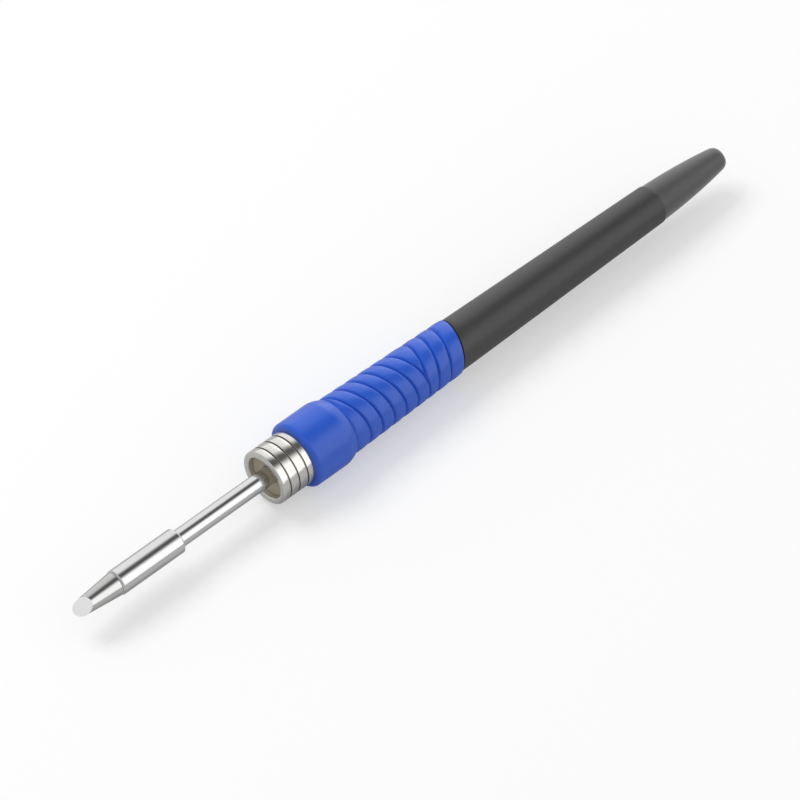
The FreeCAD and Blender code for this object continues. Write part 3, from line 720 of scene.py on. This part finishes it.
    def lean_rings(self, mesh: BMesh) -> None:
        """Slide the ribbed part's rings along the axis so that they follow the grooves.

        Args:
            mesh: The spun sleeve, which is changed.
        """
        level = mesh.verts.layers.float["station"]
        for vert in mesh.verts:
            if vert[level] < 0.5:
                continue
            station = vert[level] - 1.0
            marks = self.marks_on(vert.co)
            index = min(int(station), len(marks) - 2)
            along = marks[index] + (marks[index + 1] - marks[index]) * (station - index)
            out = math.hypot(vert.co.y, vert.co.z)
            if out > self.bore + self.skin:
                drop = self.radius_at(vert.co.x) - out
                vert.co.yz = [c * (self.radius_at(along) - drop) / out for c in vert.co.yz]
            vert.co.x = along

    def press_grooves(self, mesh: BMesh) -> None:
        """Sink the grooves and crown the ribs between them.

        Args:
            mesh: The sleeve with its rings in place, which is changed.
        """
        start = self.front + self.stop_length + self.neck_length
        last_front = self.planes[self.front_grooves - 1]
        for vert in mesh.verts:
            out = math.hypot(vert.co.y, vert.co.z)
            if vert.co.x < start - self.crease_half_width or out < self.bore + self.skin:
                continue
            crease = 1.0 - smooth_step(abs(vert.co.x - start) / self.crease_half_width)
            if vert.co.x < start:
                vert.co.yz = [c * (1.0 - self.crease_depth * crease / out) for c in vert.co.yz]
                continue
            behind = [vert.co.x - start]
            ahead = [-self.rear_edge.distance(vert.co)]
            sink = 0.0
            for index, plane in enumerate(self.planes):
                past_front = plane.meets(vert.co) >= last_front.meets(vert.co)
                if index >= self.front_grooves and not past_front:
                    continue
                gap = plane.distance(vert.co)
                sink = max(sink, 1.0 - smooth_step(abs(gap) / self.groove_half_width))
                (behind if gap >= 0.0 else ahead).append(abs(gap))
            near, far = min(behind), min(ahead)
            share = near / max(near + far, 1e-6)
            rise = self.crown * 4.0 * share * (1.0 - share)
            change = rise * (1.0 - sink) - max(self.groove_depth * sink, self.crease_depth * crease)
            vert.co.yz = [c * (out + change) / out for c in vert.co.yz]


# ---- handle and boot ----------------------------------------------------------------------
@dataclass
class Handle:
    """Tapered handle tube and the parts inside it. Sizes in millimetres."""

    body: str = "handle"
    steps: int = 160
    core_radius: float = 4.5
    core_bore: float = 3.6
    rear_bore: float = 3.4
    bore_step_along: float = 47.2
    shoulder_along: float = 51.12
    front_radius: float = 5.34
    rear_radius: float = 4.3
    edge_round: float = 0.1
    bore_round: float = 0.05
    slack: float = 2.0

    def build(self) -> None:
        """Build the tube and dress the parts inside."""
        front, rear = span_of("handle_tube")
        plane = CrossPlane(self.shoulder_along, leaning(REAR_TILT, REAR_ROLL))
        before, after = self.shoulder_along - self.slack, self.shoulder_along + self.slack
        edge = self.edge_round
        mesh = spun([(front, self.core_bore, 0.0), (front, self.core_radius, edge),
                     (before, self.core_radius, 0.0), (before, self.front_radius, edge),
                     (after, self.radius_at(after, rear), 0.0),
                     (rear, self.rear_radius, edge), (rear, self.rear_bore, self.bore_round),
                     (self.bore_step_along, self.rear_bore, 0.0),
                     (self.bore_step_along, self.core_bore, 0.0)], self.steps)
        for vert in mesh.verts:
            outside = math.hypot(vert.co.y, vert.co.z) > self.core_radius - HAIR
            if outside and before - HAIR <= vert.co.x < after - HAIR:
                vert.co.x += self.slack + plane.meets(vert.co) - self.shoulder_along
        finished("handle_moulded", mesh, [Finishes.BLACK_NYLON], self.body, "handle_tube")
        dress_nodes({"guide_liner": Finishes.BLACK_NYLON, "contact_block": Finishes.BLACK_NYLON,
                     "terminal_board": Finishes.BOARD, "cold_junction_sensor": Finishes.EPOXY,
                     "earth_spring": Finishes.GOLD_SPRING, "ring_spring": Finishes.GOLD_SPRING,
                     "pin_spring": Finishes.GOLD_SPRING})

    def radius_at(self, along: float, rear: float) -> float:
        """Outer radius of the visible taper at a place along the axis."""
        share = (along - self.shoulder_along) / (rear - self.shoulder_along)
        return self.front_radius + (self.rear_radius - self.front_radius) * share


@dataclass
class Boot:
    """Rounded boot at the cord end, with the gland that the cord passes. Sizes in millimetres."""

    body: str = "handle"
    steps: int = 160
    spigot_radius: float = 3.35
    spigot_round: float = 0.2
    bore: float = 2.35
    visible_length: float = 19.5
    front_radius: float = 4.14
    end_radius: float = 2.42
    end_round: float = 0.56
    end_round_length: float = 1.35
    end_steps: int = 8
    seat_radius: float = 1.8
    seat_length: float = 6.0
    curve_radius: float = 150.0
    curve_steps: int = 24
    lip: float = 0.1
    seat_round: float = 0.05
    round_steps: int = 8

    def build(self) -> None:
        """Build the boot and dress the gland and the parts it holds."""
        front, rear = span_of("rear_boot")
        joint = rear - self.visible_length
        half = self.visible_length / 2
        sag = self.curve_radius - math.sqrt(self.curve_radius ** 2 - half ** 2)
        run = self.visible_length - self.lip - self.end_round_length
        outline = [(front, self.bore, 0.0), (front, self.spigot_radius, self.spigot_round),
                   (joint, self.spigot_radius, 0.0), (joint, self.front_radius - self.lip, 0.0)]
        places = [joint + self.lip + run * i / self.curve_steps for i in range(self.curve_steps)]
        places += [rear - self.end_round_length * (1 - math.sin(i / self.end_steps * math.pi / 2))
                   for i in range(self.end_steps + 1)]
        for along in places:
            share = (along - joint) / self.visible_length
            straight = self.front_radius + (self.end_radius - self.front_radius) * share
            into = max(0.0, 1 - (rear - along) / self.end_round_length)
            drop = self.end_round * (1 - math.sqrt(max(0.0, 1 - into * into)))
            outline.append((along, straight + sag * 4.0 * share * (1.0 - share) - drop, 0.0))
        seat = rear - self.seat_length
        outline += [(rear, self.seat_radius, self.seat_round), (seat, self.seat_radius, 0.0),
                    (seat, self.bore, 0.0)]
        mesh = spun(outline, self.steps, self.round_steps)
        finished("boot_moulded", mesh, [Finishes.GREY_BOOT], self.body, "rear_boot")
        dress_nodes({"cord_gland": Finishes.SEAL_RUBBER, "rear_o_ring": Finishes.SEAL_RUBBER,
                     "cord_clamp": Finishes.BLACK_NYLON, "clamp_ring": Finishes.BRASS})


# ---- studio -------------------------------------------------------------------------------
@dataclass
class Studio:
    """Floor, light and camera. Lengths in metres, angles in degrees."""

    floor_size: float = 4.0
    floor_squares: int = 4
    floor_lit: str = "#f3f3f3"
    floor_mirrored: str = "#cacaca"
    floor_shown: str = "#c1c1c1"
    floor_glow: float = 0.433
    sky: float = 0.69
    near_bank: float = 1.5
    far_bank: float = 1.12
    far_bank_at_bit: float = 0.42
    far_bank_dim_from: float = 0.36
    far_bank_dim_to: float = 0.12
    far_bank_at_cord: float = 2.1
    far_bank_rise_from: float = 0.5
    far_bank_rise_to: float = 0.62
    bank_blend: float = 15.0
    gap_side: float = -5.0
    gap_half: float = 7.0
    gap_end: float = 38.0
    gap_level: float = 0.12
    gap_along: float = 0.36
    gap_reach: float = 0.32
    gap_fade: float = 0.2
    bit_end_bank: float = 0.55
    cord_end_bank: float = 1.35
    bit_end_from: float = -0.6
    cord_end_to: float = 0.9
    sky_lean: float = 0.2
    key_place: tuple[float, float, float] = (-0.2, 0.85, 1.2)
    key_power: float = 10.5
    key_width: float = 0.95
    key_height: float = 0.68
    azimuth: float = -43.51
    elevation: float = 48.2
    lens: float = 360.0
    distance: float = 1.575
    aim_right: float = 0.02688
    aim_up: float = 0.01552
    lean: float = -0.04
    sensor: float = 36.0
    clip_near: float = 0.05
    clip_far: float = 20.0

    def build(self) -> None:
        """Set the floor, the light and the camera."""
        self.build_floor()
        self.build_light()
        self.build_camera()
        bpy.context.scene.view_settings.view_transform = "Standard"

    def build_floor(self) -> None:
        """Plain pale floor that touches the grip's finger stop."""
        stop = radius_of("grip_sleeve") * MM
        mesh = bmesh.new()
        bmesh.ops.create_grid(mesh, x_segments=self.floor_squares, y_segments=self.floor_squares,
                              size=self.floor_size / 2)
        bmesh.ops.translate(mesh, vec=(0, 0, -stop), verts=mesh.verts[:])
        data = bpy.data.meshes.new("studio_floor")
        mesh.to_mesh(data)
        mesh.free()
        floor = bpy.data.objects.new("studio_floor", data)
        bpy.context.scene.collection.objects.link(floor)
        data.materials.append(self.floor_material())

    def floor_material(self) -> bpy.types.Material:
        """Make the matt white table top: shown bright, and mirrored darker than it is.

        Returns:
            The floor's material.
        """
        material, tree = new_tree("white_table")
        path = add_node(tree, "ShaderNodeLightPath")
        lit = add_node(tree, "ShaderNodeMix",
                       {6: linear(self.floor_lit), 7: linear(self.floor_mirrored)},
                       {0: path.outputs["Is Glossy Ray"]}, data_type="RGBA")
        colour = add_node(tree, "ShaderNodeMix", {7: linear(self.floor_shown)},
                          {0: path.outputs["Is Camera Ray"], 6: lit.outputs[2]}, data_type="RGBA")
        matt = add_node(tree, "ShaderNodeBsdfDiffuse", links={"Color": colour.outputs[2]})
        glow = add_node(tree, "ShaderNodeMath", {1: self.floor_glow},
                        {0: path.outputs["Is Camera Ray"]}, operation="MULTIPLY")
        bright = add_node(tree, "ShaderNodeEmission", links={"Strength": glow.outputs[0]})
        both = add_node(tree, "ShaderNodeAddShader",
                        links={0: matt.outputs[0], 1: bright.outputs[0]})
        add_node(tree, "ShaderNodeOutputMaterial", links={0: both.outputs[0]})
        material.cycles.emission_sampling = "NONE"
        return material

    def build_light(self) -> None:
        """Even sky with a soft key from behind; mirrors see two long banks and a dark gap."""
        world = bpy.data.worlds.new("studio_world")
        bpy.context.scene.world = world
        world.use_nodes = True
        tree = world.node_tree
        tree.nodes.clear()
        way = add_node(tree, "ShaderNodeTexCoord").outputs["Generated"]
        parts = add_node(tree, "ShaderNodeSeparateXYZ", links={0: way})
        side = add_node(tree, "ShaderNodeMath", links={0: parts.outputs[1], 1: parts.outputs[2]},
                        operation="ARCTAN2")
        offset = add_node(tree, "ShaderNodeMath", {1: math.radians(self.gap_side)},
                          {0: side.outputs[0]}, operation="SUBTRACT")
        off_gap = add_node(tree, "ShaderNodeMath", links={0: offset.outputs[0]},
                           operation="ABSOLUTE")
        cord_far = add_node(tree, "ShaderNodeMapRange",
                            {1: self.far_bank_rise_from, 2: self.far_bank_rise_to,
                             3: self.far_bank, 4: self.far_bank_at_cord}, {0: parts.outputs[0]})
        far = add_node(tree, "ShaderNodeMapRange",
                       {1: self.far_bank_dim_to, 2: self.far_bank_dim_from,
                        3: self.far_bank_at_bit}, {0: parts.outputs[0], 4: cord_far.outputs[0]})
        blend = math.radians(self.bank_blend)
        bank = add_node(tree, "ShaderNodeMapRange",
                        {1: -blend, 2: blend, 3: self.near_bank},
                        {0: offset.outputs[0], 4: far.outputs[0]}, interpolation_type="SMOOTHSTEP")
        banks = add_node(tree, "ShaderNodeMapRange",
                         {1: math.radians(self.gap_half), 2: math.radians(self.gap_end),
                          3: self.gap_level}, {0: off_gap.outputs[0], 4: bank.outputs[0]},
                         interpolation_type="SMOOTHSTEP")
        along = add_node(tree, "ShaderNodeMath", {1: self.gap_along}, {0: parts.outputs[0]},
                         operation="SUBTRACT")
        off_along = add_node(tree, "ShaderNodeMath", links={0: along.outputs[0]},
                             operation="ABSOLUTE")
        past = add_node(tree, "ShaderNodeMapRange",
                        {1: self.gap_reach, 2: self.gap_reach + self.gap_fade},
                        {0: off_along.outputs[0]}, interpolation_type="SMOOTHSTEP")
        ends = add_node(tree, "ShaderNodeMapRange",
                        {1: self.bit_end_from, 2: self.cord_end_to, 3: self.bit_end_bank,
                         4: self.cord_end_bank}, {0: parts.outputs[0]})
        seen = add_node(tree, "ShaderNodeMix", links={0: past.outputs[0], 2: banks.outputs[0],
                                                      3: ends.outputs[0]}, data_type="FLOAT")
        even = add_node(tree, "ShaderNodeMapRange", {1: -1.0, 2: 1.0, 3: self.sky - self.sky_lean,
                                                     4: self.sky + self.sky_lean},
                        {0: parts.outputs[0]})
        mirrored = add_node(tree, "ShaderNodeLightPath").outputs["Is Glossy Ray"]
        level = add_node(tree, "ShaderNodeMix", links={0: mirrored, 2: even.outputs[0],
                                                       3: seen.outputs[0]}, data_type="FLOAT")
        sky = add_node(tree, "ShaderNodeBackground", {"Color": linear("#ffffff")},
                       {"Strength": level.outputs[0]})
        add_node(tree, "ShaderNodeOutputWorld", links={0: sky.outputs[0]})
        self.add_bank("key_bank", self.key_place, self.key_width, self.key_height, self.key_power)

    def add_bank(self, name: str, place: tuple[float, float, float], width: float, height: float,
                 power: float) -> None:
        """Add a soft bank of light that faces the iron.

        Args:
            name: The lamp's name.
            place: Where it stands.
            width: Its size along the first side.
            height: Its size along the other side.
            power: Its power in watts.
        """
        data = bpy.data.lights.new(name, "AREA")
        data.shape = "RECTANGLE"
        data.size, data.size_y, data.energy = width, height, power
        lamp = bpy.data.objects.new(name, data)
        lamp.location = place
        lamp.rotation_euler = Vector(place).to_track_quat("Z", "Y").to_euler()
        lamp.visible_glossy = False
        bpy.context.scene.collection.objects.link(lamp)

    def build_camera(self) -> None:
        """Long lens that looks down along the iron from the bit's side."""
        turn, rise = math.radians(self.azimuth), math.radians(self.elevation)
        back = Vector((math.sin(turn) * math.cos(rise), -math.cos(turn) * math.cos(rise),
                       math.sin(rise)))
        right = Vector((math.cos(turn), math.sin(turn), 0))
        up = back.cross(right)
        lean = Matrix.Rotation(math.radians(self.lean), 3, back)
        data = bpy.data.cameras.new("camera")
        data.lens, data.sensor_width = self.lens, self.sensor
        data.clip_start, data.clip_end = self.clip_near, self.clip_far
        camera = bpy.data.objects.new("camera", data)
        camera.matrix_world = Matrix.Translation(
            right * self.aim_right + up * self.aim_up + back * self.distance) @ Matrix(
            (lean @ right, lean @ up, back)).transposed().to_4x4()
        bpy.context.scene.collection.objects.link(camera)
        bpy.context.scene.camera = camera


def main() -> None:
    """Build every sub-assembly, then the studio."""
    logging.basicConfig(level=logging.INFO, format="%(name)s: %(message)s")
    for part in (Cartridge(), Nose(), Grip(), Handle(), Boot()):
        LOG.info("building %s", type(part).__name__)
        part.build()
    Studio().build()


if __name__ == "__main__":
    main()
